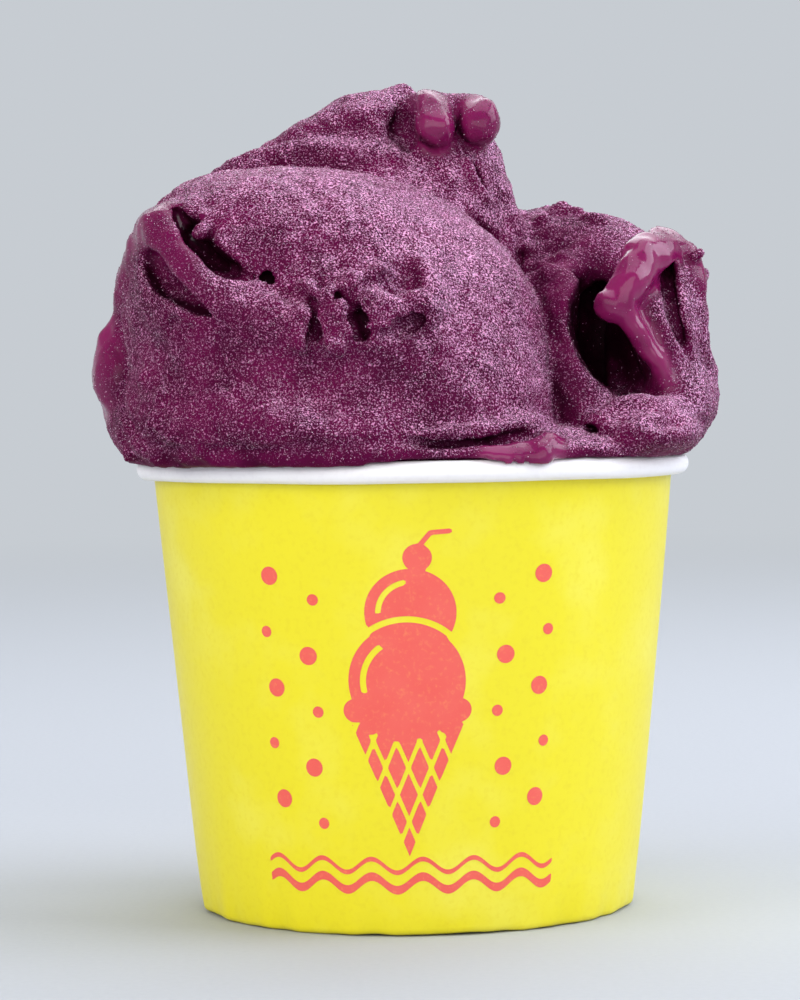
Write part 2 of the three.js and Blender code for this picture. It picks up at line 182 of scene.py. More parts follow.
def turnedPiece(name, loop, bend, materials, slotOf):
    # the closed profile goes round the axis; bend moves its points, and slotOf picks their material
    count, steps = len(loop), cup["segments"]
    vertices, faces, slots = [], [], []
    for step in range(steps):
        angle = 2 * pi * step / steps
        for n, (r, z) in enumerate(loop):
            r, z = bend(angle, n, r, z)
            vertices.append((r * cos(angle), r * sin(angle), z))
        here, there = step * count, ((step + 1) % steps) * count
        for n in range(count):
            after = (n + 1) % count
            faces.append((here + n, there + n, there + after, here + after))
            slots.append(slotOf(n))
    piece = newPiece(name, vertices, faces, *materials)
    piece.data.polygons.foreach_set("material_index", slots)
    # the UV map is the flat sheet in metres: round the cup, and up it
    layer = piece.data.uv_layers.new(name="sheet")
    lengths = [0.0]
    for a, b in zip(loop, loop[1:] + loop[:1]):
        lengths.append(lengths[-1] + dist(a, b))
    girth = 2 * pi * wallRadius(35)  # halfway up
    for face, polygon in enumerate(piece.data.polygons):
        step, n = divmod(face, count)
        corners = ((step, n), (step + 1, n), (step + 1, n + 1), (step, n + 1))
        for loopIndex, (s, m) in zip(polygon.loop_indices, corners):
            layer.data[loopIndex].uv = (girth * s / steps * mm, lengths[m] * mm)
    return piece


def coatedBoard(name, colour, pale, deep):
    # paperboard with a thin polyethylene coat: satin, with the sheet's fibres just felt through it
    fibreClump = 1 / 0.0009  # fibres clump at about 0.9 mm
    fibre = 1 / 0.00035  # single fibres, drawn 0.35 mm wide so that they show
    cloud = 1 / 0.012  # uneven ink lay-down, about 12 mm
    material, tree, shader = newMaterial(name)
    sheet = addPlace(tree)
    clouds = addNoise(tree, sheet, cloud, 3.0)
    clumps = addNoise(tree, sheet, fibreClump, 2.0)
    fibres = addNoise(tree, sheet, fibre, 1.0)
    paler = addMix(tree, addRange(tree, clouds, 0.48, 0.72, toHigh=0.55), colour, pale)
    relief = addMath(tree, "ADD", clumps, fibres)
    bump = addNode(tree, "ShaderNodeBump", {"Height": relief, "Strength": 0.25, "Distance": 0.03 * mm})
    setInputs(tree, shader, {
        "Base Color": addMix(tree, addRange(tree, clumps, 0.5, 0.8, toHigh=0.45), paler, deep),
        "Roughness": addRange(tree, clumps, toLow=0.36, toHigh=0.52),
        "Normal": bump.outputs["Normal"],
        "IOR": 1.5, "Coat Weight": 0.15, "Coat Roughness": 0.3})
    return material


yellowBoard = coatedBoard("yellow printed coated paperboard", "#e9db0e", "#efe654", "#dfcd08")
whiteBoard = coatedBoard("white coated paperboard", "#f4f1f3", "#faf8fa", "#e9e4e8")


def clamped(value):
    return min(max(value, 0), 1)


def makeCupWall():
    curlSteps, wallSteps, foldSteps = 30, 36, 8
    wallFoot = 1.1  # the straight wall starts above the fold
    hemIn = 3 * cup["board"] + 2 * cup["gap"]  # the turned-in foot leaves room for the base's skirt
    line = [(wallRadius(z) - hemIn, z) for z in (cup["hemHeight"], 4.2, 2.4, 1.0)]
    turnUnder = hemIn / 2
    for n in range(1, foldSteps):
        angle = pi * n / foldSteps
        r = wallRadius(0.8) - turnUnder - turnUnder * cos(angle)
        line.append((r, 0.9 - 0.675 * sin(angle)))
    firstWall = len(line)
    heights = [wallFoot + (curlMiddle - wallFoot) * n / wallSteps for n in range(wallSteps)]
    line += [(wallRadius(z), z) for z in heights]
    curlStart = len(line)
    for n in range(curlSteps + 1):
        angle = radians(180 - cup["curlTurn"] * n / curlSteps)
        tuck = 1 - 0.25 * max(0, n / curlSteps - 0.6)  # the roll's edge is tucked in
        across = (cup["curlWidth"] - cup["board"]) / 2 * tuck
        up = (cup["curlHeight"] - cup["board"]) / 2 * tuck
        line.append((curlCentre + across * cos(angle), curlMiddle + up * sin(angle)))
    outer = len(line)

    def bend(angle, n, r, z):
        arc = radians(degreesPast(angle, cup["lapAt"])) * wallRadius(z)
        lap = 0.0
        if 4 < n < outer:
            # a sharp step at one edge of the lap, and a slow rise to it from the other side
            rise = clamped((arc + cup["lapWidth"]) / cup["lapWidth"])
            lap = cup["board"] * rise * (1 - clamped(arc / 0.25)) * 0.85
        if curlStart <= n < outer:
            lap *= 0.5
        # the brim wavers a little, and the foot doesn't touch the table all round
        wobble = 0.10 * sin(5 * angle + 1) + 0.06 * sin(11 * angle) if z > 60 else 0
        lift = 0.0
        if z < 1.2:
            ripple = 0.07 * sin(13 * angle) + 0.04 * sin(31 * angle)
            lift = max(0.12 + 0.11 * sin(4 * angle + 1) + ripple, 0)
        return r + outOfRound(angle, z) + lap, z + lift + wobble * clamped((z - 60) / 6) * 0.5

    def slotOf(n):
        return 0 if firstWall - 5 <= n <= curlStart else 1

    return turnedPiece("cupWall", sheetLoop(line), bend, (yellowBoard, whiteBoard), slotOf)


def makeCupBase():
    # a shallow drawn disc with a skirt that stands in the foot's fold
    middle = cup["recess"] + cup["board"] / 2
    corner = wallRadius(cup["recess"]) - cup["board"] - cup["gap"]
    line = [(wallRadius(z) - cup["board"] - cup["gap"], z) for z in (1.4, 2.6, 3.8, 5.0, 5.9)]
    line += [(corner - 0.12, 6.45), (corner - 0.4, 6.75), (corner - 0.8, middle)]
    line += [(r, middle - 0.25 * sin(pi * r / corner)) for r in (30, 26, 22, 16, 10, 5, 1.2)]

    def bend(angle, n, r, z):
        return r + 0.08 * sin(3 * angle) * r / corner, z

    piece = turnedPiece("cupBase", sheetLoop(line), bend, (whiteBoard,), lambda n: 0)
    work = bmesh.new()
    work.from_mesh(piece.data)
    bmesh.ops.holes_fill(work, edges=[e for e in work.edges if e.is_boundary])
    bmesh.ops.recalc_face_normals(work, faces=work.faces)
    work.to_mesh(piece.data)
    work.free()
    return piece


cupWall = makeCupWall()
cupBase = makeCupBase()
print("cup made:", len(cupWall.data.polygons), "faces in the wall")

# the print: a plain cone with two scoops, waves and dots, in one coral ink
printed = {
    "cell": 0.35,  # finest outline of the ink
    "centreHeight": 33.0,
    "width": 47.0,
    "height": 52.0,
    "wave": 7.9,  # length of a wave
    "inkProud": 0.04,  # how far the ink stands off the wall
}


def discInk(x, y, at, radius):
    return np.hypot(x - at[0], y - at[1]) - radius


def lineInk(x, y, a, b, width):
    dx, dy = b[0] - a[0], b[1] - a[1]
    along = np.clip(((x - a[0]) * dx + (y - a[1]) * dy) / (dx * dx + dy * dy), 0, 1)
    return np.hypot(x - a[0] - along * dx, y - a[1] - along * dy) - width / 2


def coneInk(x, y):
    # waffle cone: a triangle with a lattice left open in it
    tip, rim, half = -21.0, -1.5, 8.2
    lean = half / (rim - tip)
    inside = np.maximum(np.abs(x) - (y - tip) * lean, y - rim) * 0.92
    lattice = np.full_like(x, 9.0)
    for n in range(-6, 7):
        for turn in (1, -1):
            offset = x * turn * 0.92 + y * 0.39 - n * 3.1
            lattice = np.minimum(lattice, np.abs(offset) - 0.32)
    return np.maximum(inside, -lattice)


def scoopInk(x, y):
    lowAt, highAt = (0, 4.6), (0.6, 14.6)  # middles of the two scoops
    drips = [discInk(x, y, at, 1.5) for at in ((-5.4, -1.6), (-1.4, -2.6), (3.0, -1.2), (6.4, -2.0))]
    edge = lineInk(x, y, (-7.6, 0.4), (7.6, 0.4), 3.4)
    low = np.minimum.reduce([discInk(x, y, lowAt, 8.4), edge, *drips])
    seam = np.abs(discInk(x, y, lowAt, 9.1)) - 0.45  # open line between the scoops
    shine = np.maximum.reduce([np.abs(discInk(x, y, lowAt, 6.3)) - 0.45, x + 1.5, 3.0 - y])
    shineHigh = np.maximum.reduce([np.abs(discInk(x, y, highAt, 4.5)) - 0.4, x, highAt[1] - y])
    scoops = np.minimum(np.maximum(discInk(x, y, highAt, 6.4), -seam), np.maximum(low, -shine))
    cherry = discInk(x, y, (1.6, 22.6), 2.0)
    stalk = [lineInk(x, y, (3.4, 26.2), end, 0.7) for end in ((1.8, 24.2), (6.0, 26.4))]
    return np.minimum.reduce([np.maximum(scoops, -shineHigh), cherry, *stalk])


def waveInk(x, y, height, width):
    line = height + np.sin(x * 2 * pi / printed["wave"])
    return np.maximum(np.abs(y - line) * 0.85 - width / 2, np.abs(x) - printed["width"] / 2)


def dotsInk(x, y):
    ink = np.full_like(x, 9.0)
    for side in (-1, 1):
        for row in range(5):
            for column in range(2):
                at = (side * (13.2 + 6.6 * column + 1.1 * (row % 2)), 16.5 - 8.2 * row + 3.4 * column)
                radius = 1.35 if (row + column) % 2 else 0.85
                ink = np.minimum(ink, discInk(x, y, at, radius))
    return ink


def inkDistance(x, y):
    lines = waveInk(x, y, -25.0, 1.1), waveInk(x, y, -22.4, 0.6)
    return np.minimum.reduce([coneInk(x, y), scoopInk(x, y), dotsInk(x, y), *lines])


def makePrint(name, middle, material):
    # the ink's outline is cut out of a fine grid and laid on the wall
    cell = printed["cell"]
    halfWide, halfHigh = printed["width"] / 2 + 1, printed["height"] / 2 + 2
    xs = np.arange(-halfWide, halfWide, cell)
    ys = np.arange(-halfHigh, halfHigh, cell)
    gridX, gridY = np.meshgrid(xs, ys, indexing="ij")
    ink = inkDistance(gridX, gridY)
    index, points, faces = {}, [], []

    def pointAt(key, x, y):
        if key not in index:
            index[key] = len(points)
            points.append((x, y))
        return index[key]

    for i, j in np.argwhere(np.minimum.reduce([ink[:-1, :-1], ink[1:, :-1], ink[:-1, 1:], ink[1:, 1:]]) < 0):
        corners = [(i, j), (i + 1, j), (i + 1, j + 1), (i, j + 1)]
        ring = []
        for a, b in zip(corners, corners[1:] + corners[:1]):
            inA, inB = ink[a], ink[b]
            if inA < 0:
                ring.append(pointAt(a, xs[a[0]], ys[a[1]]))
            if (inA < 0) != (inB < 0):
                t = inA / (inA - inB)
                x = xs[a[0]] + (xs[b[0]] - xs[a[0]]) * t
                y = ys[a[1]] + (ys[b[1]] - ys[a[1]]) * t
                ring.append(pointAt((min(a, b), max(a, b)), x, y))
        if len(ring) > 2:
            faces.append(ring)
    vertices = []
    for x, y in points:
        z = printed["centreHeight"] + y
        angle = middle + x / wallRadius(printed["centreHeight"])
        r = wallRadius(z) + outOfRound(angle, z) + cup["board"] / 2 + printed["inkProud"]
        vertices.append((r * cos(angle), r * sin(angle), z))
    return newPiece(name, vertices, faces, material)


def coralInk():
    # flexographic ink under the same satin coat as the board, thin enough for the yellow to warm it
    inkCloud = 1 / 0.004  # the ink lies unevenly, about 4 mm
    pinhole = 1 / 0.0006  # thin spots of about 0.6 mm
    material, tree, shader = newMaterial("coral printing ink")
    place = addPlace(tree)
    clouds = addNoise(tree, place, inkCloud, 3.0)
    thin = addRange(tree, addNoise(tree, place, pinhole, 1.0), 0.55, 0.8, toHigh=0.35)
    setInputs(tree, shader, {
        "Base Color": addMix(tree, thin, addMix(tree, clouds, "#e8524a", "#ec665a"), "#f39a58"),
        "Roughness": addRange(tree, clouds, toLow=0.38, toHigh=0.5)})
    return material


ink = coralInk()
frontPrint = makePrint("printFront", radians(-92), ink)
backPrint = makePrint("printBack", radians(92), ink)
print("print made:", len(frontPrint.data.polygons), "faces")

# the gelato: implicit lobes and folds, joined softly
gelato = {
    "cell": 0.6,  # mesh spacing
    "low": (-51, -49, 66.0),
    "high": (50, 48, 129.0),
    "capHeight": 66.5,  # hidden flat underside, inside the cup
    "relief": 0.22,  # uneven skin, up and down
    "tornRelief": 0.75,  # where the spatula tore it
    "hollowReach": 14.0,  # how far off a neighbour still counts towards the painted shade of a hollow
}

# a lobe is an egg: centre, half sizes, lean about Y in degrees, and how softly it joins those before
masses = {
    "front": [
        ((-9, -8, 79), (31.5, 35, 32), 8, 0),
        ((-27.5, -12, 92.5), (15.5, 25, 18.5), 0, 5),
        ((-17, -12, 100.5), (21, 22, 12.5), 10, 5),
        ((-13, -8, 75), (33, 36, 12), 0, 5),
        ((5.5, -15, 76.5), (15, 22.5, 12.5), 0, 4),
        ((-0.5, 0.5, 70.4), (43.2, 43.2, 6.2), 0, 2),  # it spreads over the brim
    ],
    "peak": [
        ((4.5, 8, 111), (10.4, 10.5, 14.6), 4, 0),
        ((0.5, 8, 95), (17.5, 19, 22.5), 0, 5),
        ((-14, 8, 100), (24, 20, 15), 0, 5),
        ((-12, 6, 117.5), (14, 6, 5.5), -18, 4),
        ((-14, 3, 112), (19, 7, 6), -7, 2),
        ((-8, 18, 82), (34, 23, 24), 0, 6),
    ],
    "right": [
        ((27.6, 12, 88.4), (15.5, 17, 18.9), 12, 0),
        ((20.5, 14, 94), (12, 14, 14), 0, 4),
        ((20, 19, 80), (24, 22, 18), 0, 6),
        ((33, -4, 72.5), (11.4, 27, 5.6), 0, 3),
        ((24.6, -1.5, 79), (10, 19, 20), 0, 4),
    ],
    "flap": [
        ((37.5, -3, 87.4), (7.6, 15, 14.4), 8, 0),
        ((39, -4, 77), (7.5, 15, 8), 0, 4),
    ],
    "rear": [
        ((-25, 19, 84), (18, 17, 17), 20, 0),
        ((-2, 24, 92), (17, 15.5, 20), 0, 2.5),
        ((22, 23, 83), (18, 16, 16), -25, 2.2),
        ((6, 32, 76), (26, 10, 9), -8, 2),
    ],
}

# Folds are worked into a scoop one after another. A ridge is a rope pressed onto it, a groove the same
# carved out, crumbs are torn lumps and a dent is a wide shallow hollow. A point is (x, z, radius) on the
# scoop's face, sunk by so much, or (x, y, z, radius) off it, and blend is how softly the fold joins.
# stretch draws a rope out along Y, and wet says how far round each point the skin has melted to a gloss.
def ridge(sink, blend, *points, **more):
    return dict(more, sink=sink, blend=blend, points=points)


def groove(sink, blend, *points, **more):
    return ridge(sink, blend, *points, cut=True, **more)


def crumbs(sink, blend, *points, **more):
    return ridge(sink, blend, *points, lumps=True, **more)


def dent(deep, blend, place, half, lean=0):
    return dict(deep=deep, blend=blend, dent=place, half=half, lean=lean, cut=True)


frontFolds = [
    dent(2.3, 3.4, (-2, 80.5), (20, 8, 9.8), lean=18),
    dent(2.4, 3.2, (-18.5, 82.4), (15, 7, 5.4), lean=14),
    dent(3.2, 1.5, (-33, 98), (10.5, 6, 5), lean=38),
    dent(2, 1, (-31.5, 104), (3.4, 5, 4.4)),
    dent(1.7, 1.2, (-1, 96.5), (2.9, 5, 4.2), lean=-12),
    # brow over the hollow, torn into lumps
    ridge(1, 2.2, (-23, 89, 1.6), (-16, 89.5, 2.4), (-8, 89, 2.6), (-1, 90.5, 2.4), (3, 93, 1.8)),
    crumbs(-0.3, 1.1, (-17, 89.6, 2.4), (-11.2, 90.6, 2.3), (-11.8, 93.6, 1.7), (-8.6, 95.2, 1.9),
        (-5, 92.2, 2.5), (-3.2, 89.2, 1.7), (1.4, 91.8, 2.2), (-16.4, 86.8, 1.6), (-10.8, 86.4, 1.8),
        (-19.6, 92, 1.6), (-5.6, 96.6, 1.5), (-15, 94.6, 1.6)),
    # hooked ridge at the right end of the tear
    ridge(0.1, 1.2, (0.2, 98.6, 0.8), (1.5, 96.6, 1.3), (2.2, 94.2, 1.5), (2.6, 91.6, 1.5),
        (2.4, 89.8, 1.1)),
    # outer roll turning down into a ridge
    ridge(0.7, 3, (-41.6, -10, 88, 2.6), (-41.4, -12, 95, 3.2), (-39.2, -16, 100.6, 3.6),
        (-36.6, -23, 103.4, 3.6), (-34.4, -28.5, 101.2, 3.2), (-32, 97.2, 2.6), (-28.6, 94, 2.5),
        (-24, 91.6, 2.4), (-19.5, 89.2, 1.8), wet=(1.6, 2.6, 3.4, 3.4, 2.4, 1.6, 0.8, 0, 0)),
    # the two slits beside the ridge, and a hole
    groove(1.2, 1.8, (-37.8, -26, 99, 1.4), (-36.4, 97, 2.2), (-34.4, 94.8, 2.1), (-31.6, 92.6, 1.4),
        (-28.6, 91, 0.6)),
    groove(3.6, 1.4, (-36.8, 97.6, 1.6), (-34.8, 95, 1.8), (-32.4, 93.2, 1)),
    groove(0.9, 1.6, (-34.5, 105.3, 0.9), (-32.2, 101.8, 1.4), (-29.4, 99, 1.5), (-26, 97, 1.3),
        (-23.6, 96.2, 0.6)),
    groove(3.2, 1.4, (-33.4, 103.6, 1.3), (-29.6, 99.2, 1.5), (-26, 97.4, 1.1)),
    groove(5.6, 0.9, (-32.4, 102.4, 1.4), (-29.4, 99.2, 1.5), (-27.2, 98, 1.1)),
    groove(1.9, 0.8, (-20.8, 95.6, 1.7), (-20.4, 95, 1.5)),
    crumbs(1.2, 0.8, (-30.6, 102.6, 1.5), (-29.6, 104.8, 1.4)),
    # cracks and the wet pocket in the tear
    groove(-0.2, 0.7, (-14.2, 92.6, 0.5), (-13.8, 90.4, 0.9), (-13.9, 88.2, 1.5), (-14.4, 86.4, 0.7)),
    groove(-0.2, 0.7, (-13.2, 96, 0.5), (-12.2, 94.2, 0.9), (-10.6, 92.6, 1), (-9.9, 91.6, 0.5)),
    groove(0.4, 0.7, (-8.6, 91.6, 1), (-7.8, 90, 2.1), (-7.3, 87.8, 1.3)),
    groove(2.2, 0.7, (-8, 90.8, 0.9), (-6.7, 89.4, 1.3), (-6.4, 87.8, 0.9)),
    crumbs(-0.3, 0.8, (-34.8, 89.1, 1.3), (-32.6, 88.3, 1), (-9.7, 74.7, 0.9), (-27.6, 81.4, 0.9),
        cut=True),
    groove(0, 0.9, (-4.2, 87.8, 0.8), (-1.4, 88.6, 1.7), (1.4, 90.2, 0.9)),
    groove(0, 1.2, (-3.8, 95.4, 0.9), (-2.2, 94.4, 1.5), (-0.4, 94.4, 1.1)),
    # foot of the scoop, its lip and drip
    groove(-0.4, 0.8, (-31, 71.2, 0.8), (-20, 71.6, 1), (-10, 71.8, 1), (0, 71.6, 1), (5, 71.2, 0.8)),
    ridge(-0.9, 1.2, (-1, 72.8, 0.6), (6, 73.4, 1.1), (12, 74, 1.3), (16.4, 74.6, 1.4), (19.8, 74.5, 1.1)),
    groove(1, 0.5, (1, 71.4, 0.5), (5, 71.7, 0.8), (9, 72, 1), (13, 72.3, 1.2), (16.4, 72.6, 1.2),
        (18.8, 72.7, 0.8)),
    ridge(0.3, 0.8, (11.6, 69.7, 0.9), (16, 69.2, 1.6), (18.8, 70.2, 1.6), (19.9, 72.2, 1.2),
        wet=(2, 2.6, 2.6, 1.4)),
]
peakFolds = [
    # peak, with two drops that melted and hang
    ridge(0, 2, (11.4, 4, 112.6, 2.2), (14.2, 4, 107.4, 2.5), (15.4, 4, 102.6, 3)),
    groove(0.5, 1.4, (-3.4, 123.4, 1.3), (-2, 120.2, 1.7), (-0.6, 116.6, 1.3)),
    ridge(0, 2.5, (-8, 6, 120.8, 4.2), (-4, 7, 122.6, 3.4), (-1.5, 7, 125.2, 1.8)),
    ridge(0, 1.6, (2.4, 3.5, 123.4, 2.2), (3.2, 0.2, 122.6, 2.9), (3.5, -2.4, 119.7, 3.4),
        wet=(2, 2.6, 3.2)),
    ridge(0, 1.6, (2.6, 3.4, 123, 2.2), (6.6, 3.6, 123, 2.7), (10.4, 3.4, 122.6, 3),
        wet=(1.4, 1.4, 1.8)),
    ridge(0, 1.6, (10.2, 3.6, 121.8, 3), (11, 0.8, 121.4, 3.4), (10.8, -1.2, 120.6, 3.1),
        wet=(2.4, 3.2, 2.8)),
    ridge(0.4, 0.8, (8.3, 115, 1), (9.8, 111.6, 1.4), (12, 109.2, 1.2)),
    groove(0.6, 0.9, (9.4, 114, 0.6), (10.4, 112, 0.9), (11.2, 110.6, 0.6)),
    groove(0.5, 1, (8.8, 105.6, 0.6), (11.6, 103.8, 1), (14.2, 102.4, 0.6)),
    ridge(1, 1.5, (-29, 112.6, 1.6), (-22, 115.4, 2.4), (-12, 116.2, 2), (-3, 114.6, 1.2)),
    ridge(0.9, 1.2, (-17, 119.2, 1.6), (-9, 121.6, 1.8), (-4, 122, 1.2)),
    crumbs(0.5, 0.9, (-11.4, 120.6, 1.5), (-7.6, 121.2, 1.7), (-5.2, 119.8, 1.2), (-14.8, 118.6, 1.3),
        (1, 116, 1), (-24.6, 113.6, 1.4), (-19.4, 115.2, 1.2), (6.2, 117.4, 1.1)),
]
rightFolds = [
    # deep hollow between the right scoop and its flap
    groove(0, 3.4, (30.6, -8, 102, 1.6), (28.6, -6, 97, 3.2), (28, -5, 91, 4.5), (29, -4, 85, 4.7),
        (31, -6, 80.6, 3.4)),
    groove(0, 3, (29.6, 3, 93, 4.2), (30.4, 3, 83.5, 4.4)),
    crumbs(0.7, 0.9, (18.9, 100.6, 1.7), (19.4, 95.2, 2), (21, 96.8, 1.7), (17.6, 103.8, 1.6),
        (16.6, 106, 1.8), (24, 107.3, 1.9), (29.4, 105.4, 1.9), (20.6, 105.2, 1.5), (26.6, 106.8, 1.4),
        (18, 97.6, 1.3), (22.8, 99.4, 1.2)),
]
flapFolds = [
    dict(mass="flap", blend=1),  # the flap grows out of the right scoop
    groove(0, 1.2, (31.2, -14, 101.8, 0.9), (28.9, -15, 97.6, 1.8), (26.6, -16, 93, 2.6),
        (27.8, -16, 88, 3.7), (30.2, -16, 83.5, 3.7), (32.6, -17, 80, 2.4), stretch=3.6),
    # its rolled left edge, melted to a gloss
    ridge(0, 1.2, (41.4, -4, 99.8, 2.4), (37.8, -9, 100.2, 3.2), (35.2, -13.5, 98.8, 3.5),
        (33.3, -16.8, 96, 3.1), (31.2, -18.8, 93, 2.6), (32.4, -19, 90, 1.9), (34.4, -18.6, 86, 1.7),
        (36.4, -18, 82.2, 1.6), (38.4, -17, 78.6, 1.2), wet=(2.4, 3.2, 3.8, 3.4, 3.2, 2.6, 2.2, 1.6, 0.8)),
    ridge(0, 2, (33, -14.5, 94, 2.6), (34.4, -14.8, 89, 2.4), (36.6, -14.6, 84, 2)),
    ridge(0, 1.2, (30.6, -19.4, 92.8, 2), (29.6, -20, 92, 2.4), wet=(3, 3.4)),
    # slit, and the rim right of it
    groove(0.6, 1, (38.2, 99, 0.8), (38.4, 95, 1.2), (39.2, 90, 1.1), (40.6, 86, 0.9),
        (42, 83.4, 0.5)),
    groove(2.4, 1, (38.2, 98, 0.9), (38.5, 94, 1.1), (39.2, 90, 1), (40.4, 86.4, 0.7)),
    ridge(0, 2, (41, -9, 99.2, 2), (42.6, -10, 95.4, 2.1), (43, -10, 91, 1.9), (43.6, -9, 86, 1.8),
        (44.6, -6, 82.4, 1.9), (43.4, -5, 77, 2.2), wet=(1.8, 1.6, 0.8, 0, 0, 0)),
    crumbs(0, 1, (44.9, -5, 82.6, 1.7), (43.8, -7.5, 96.6, 1.3), (44.2, -6, 88.6, 1.1),
        (42.6, -12, 99.4, 1.2)),
]
shelfFolds = [
    # broken shelf under the flap
    ridge(0, 1.2, (27, -26, 73.6, 1.8), (31.6, -24, 75.8, 2.3), (35.4, -23, 75.8, 2.2),
        (40, -17, 74.8, 2.4)),
    groove(0, 1, (25.6, -34, 71.8, 0.8), (26.6, -27, 73, 1.3), (27.8, -20, 73.8, 0.8)),
    groove(0.8, 0.9, (33.4, 73.4, 0.5), (36, 73.8, 1), (39, 74.2, 0.6)),
]
leftFolds = [
    # lobe hanging on the left, and the ragged fringe below it
    ridge(0, 1.8, (-42, -9, 92, 1.8), (-43.7, -9, 87.2, 3.5), (-44, -10, 81.6, 4.3),
        (-42.4, -10, 76.8, 3.2), wet=(2.2, 4.2, 5.4, 3.8), stretch=1.5),
    ridge(0, 2, (-39.5, -8, 84, 5.5), (-40, -8, 77, 6), (-39.6, -6, 71.4, 4.6)),
    ridge(0, 1, (-42.4, -12, 72.4, 2.2), (-41.6, -10, 70.6, 2.2)),
    groove(0, 1, (-42.8, -20.6, 77.8, 0.7), (-42.2, -23.4, 76.4, 1.1), (-41.2, -26.2, 74.2, 1.2),
        (-40, -28.2, 72.6, 0.8)),
    crumbs(0.6, 0.8, (-39.6, 72.4, 1.9), (-37.1, 70.9, 1.7), (-35, 73.4, 1.4), (-37.4, 74.6, 1.2),
        (-33.6, 70.8, 1.3), (-36.6, 78.6, 1.3), (-38.6, 81.6, 1.5), (-30.6, 71.2, 1.1)),
    crumbs(0, 0.8, (-42.6, -20, 73.6, 1.7), (-41.6, -21, 71.2, 1.7), (-43.4, -16, 75.4, 1.4)),
]
rearFolds = [
    # sweeps of the spatula across the back
    ridge(0.8, 2, (-40, 90, 1.6), (-27, 101, 2.4), (-9, 107, 2.8), (10, 103, 2.6), (24, 92, 1.8)),
    groove(-0.4, 2.4, (-38, 86.5, 1.2), (-26, 97, 1.8), (-9, 102.4, 2), (8, 98.8, 1.8), (20, 89, 1.2)),
    ridge(1.2, 2, (38, 94, 1.6), (27, 85, 2.3), (8, 80, 2.6), (-12, 80.6, 2.3), (-30, 77, 1.5)),
    groove(-0.3, 2.2, (35, 89, 1.2), (25, 81, 1.6), (8, 76, 1.8), (-11, 76.4, 1.6), (-27, 74, 1)),
    crumbs(0.7, 1, (-30, 84, 1.8), (-18, 89, 1.5), (2, 91, 2), (14, 86, 1.6), (25, 78, 1.5),
        (-4, 72.6, 1.6), (30, 90, 1.6), (-36, 78, 1.4), (-10, 97, 1.3), (12, 96.5, 1.4)),
]
folds = [dict(fold, on=scoop) for scoop, group in (
    ("front", frontFolds + leftFolds), ("peak", peakFolds), ("right", rightFolds), ("flap", flapFolds),
    ("right", shelfFolds), ("rear", rearFolds)) for fold in group]


def smoothMin(a, b, k):
    if not k:
        return np.minimum(a, b)
    h = np.clip(0.5 + 0.5 * (b - a) / k, 0, 1)
    return b + (a - b) * h - k * h * (1 - h)


def smoothMax(a, b, k):
    return -smoothMin(-a, -b, k)


def waves(p, size, seed):
    k = 2 * pi / size
    x, y, z = p[..., 0], p[..., 1], p[..., 2]
    a = np.sin(k * (x + 0.37 * y) + seed) * np.sin(k * (0.83 * y - 0.41 * z) + 2.1 * seed)
    b = np.sin(k * (0.91 * z + 0.33 * x) + 1.7 * seed)
    return (a + b * np.sin(k * (0.71 * x - 0.52 * y + 0.3 * z) + 0.6 * seed)) / 2


def bent(p):
    # slow waves, so that no lobe is a true egg
    return p + np.stack([0.8 * waves(p, 31, 1) + 0.35 * waves(p, 13, 2) + 0.2 * waves(p, 5.3, 7),
                         0.9 * waves(p, 29, 3) + 0.4 * waves(p, 12, 4) + 0.2 * waves(p, 4.7, 8),
                         0.7 * waves(p, 33, 5) + 0.3 * waves(p, 14, 6) + 0.2 * waves(p, 5.9, 9)], -1)


def lobeDistance(p, at, half, lean):
    turn, half = radians(lean), np.array(half, np.float32)
    x, y, z = (p[..., n] - at[n] for n in range(3))
    q = np.stack([x * cos(turn) - z * sin(turn), y, x * sin(turn) + z * cos(turn)], -1)
    q = q / half
    near = np.sqrt((q ** 2).sum(-1))
    return near * (near - 1) / (np.sqrt(((q / half) ** 2).sum(-1)) + 1e-9)


def massDistance(p, name):
    distance = np.inf
    for at, half, lean, blend in masses[name]:
        distance = smoothMin(distance, lobeDistance(p, at, half, lean), blend)
    return distance


def pressed(name, x, z, sink):
    # where a line along Y meets the scoop, from the back for the rear one, moved on into it
    side = -1 if name == "rear" else 1
    ys = np.arange(-60, 60, 0.2) * side
    ray = np.stack([np.full_like(ys, x), ys, np.full_like(ys, z)], -1)
    inside = massDistance(ray, name) < 0
    return x, (ys[np.argmax(inside)] if inside.any() else 0) + sink * side, z


def placeOf(fold, point):
    return point if len(point) == 3 else pressed(fold["on"], *point, fold["sink"])


def rope(fold):
    # the path as a smooth curve in short rods: rows of x, y, z, radius, wet
    knots = []
    for n, (*point, radius) in enumerate(fold["points"]):
        knots.append(np.array([*placeOf(fold, point), radius, fold["wet"][n] if "wet" in fold else 0]))
    if len(knots) < 3:
        return np.array(knots)
    knots = [2 * knots[0] - knots[1], *knots, 2 * knots[-1] - knots[-2]]
    rows = []
    for a, b, c, d in zip(knots, knots[1:], knots[2:], knots[3:]):
        for t in (0, 0.25, 0.5, 0.75):
            square, cube = (2 * a - 5 * b + 4 * c - d) * t ** 2, (3 * b - a - 3 * c + d) * t ** 3
            rows.append((2 * b + (c - a) * t + square + cube) / 2)
    return np.array(rows + [knots[-2]])


def ropeDistance(p, rows, column=3, stretch=1):
    # column 3 of the rows is the rope's own radius, and column 4 how far it is wet
    distance, narrow = np.inf, np.array((1, 1 / stretch, 1))
    for a, b in zip(rows[:-1], rows[1:]):
        span = (b[:3] - a[:3]) * narrow
        q = (p - a[:3]) * narrow
        share = np.clip((q @ span) / max(span @ span, 1e-6), 0, 1)
        radius = a[column] + (b[column] - a[column]) * share
        distance = np.minimum(distance, np.sqrt(((q - share[..., None] * span) ** 2).sum(-1)) - radius)
    return distance


